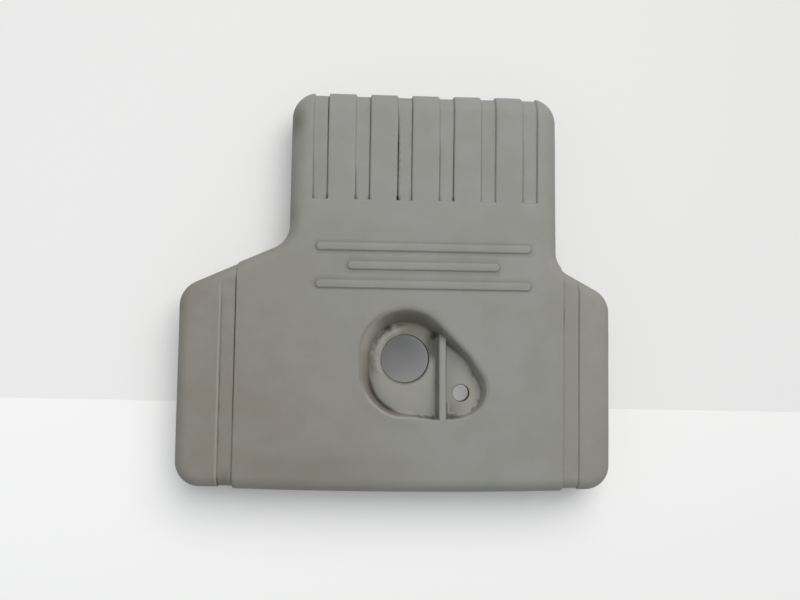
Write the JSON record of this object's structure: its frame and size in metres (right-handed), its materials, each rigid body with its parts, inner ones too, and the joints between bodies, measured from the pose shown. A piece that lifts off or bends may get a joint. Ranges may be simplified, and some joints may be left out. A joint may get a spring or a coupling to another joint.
{
  "type": "engine cover",
  "caption": "Moulded foam cover for the top of an engine, with a grooved neck, two wings and a divided pocket round the filler opening.",
  "frame": {"origin": "under the middle of the cover's bounding box, on the plane of its rim", "axes": "+Z out of the face, +Y from the wings towards the grooved neck, +X towards the right wing as the face is read"},
  "size_m": [0.4686, 0.4364, 0.0666],
  "materials": {
    "foam_skin": "matt grained skin of integral-skin polyurethane foam, warm grey"
  },
  "bodies": {
    "root": {"engine_cover": "foam_skin"}
  },
  "joints": []
}
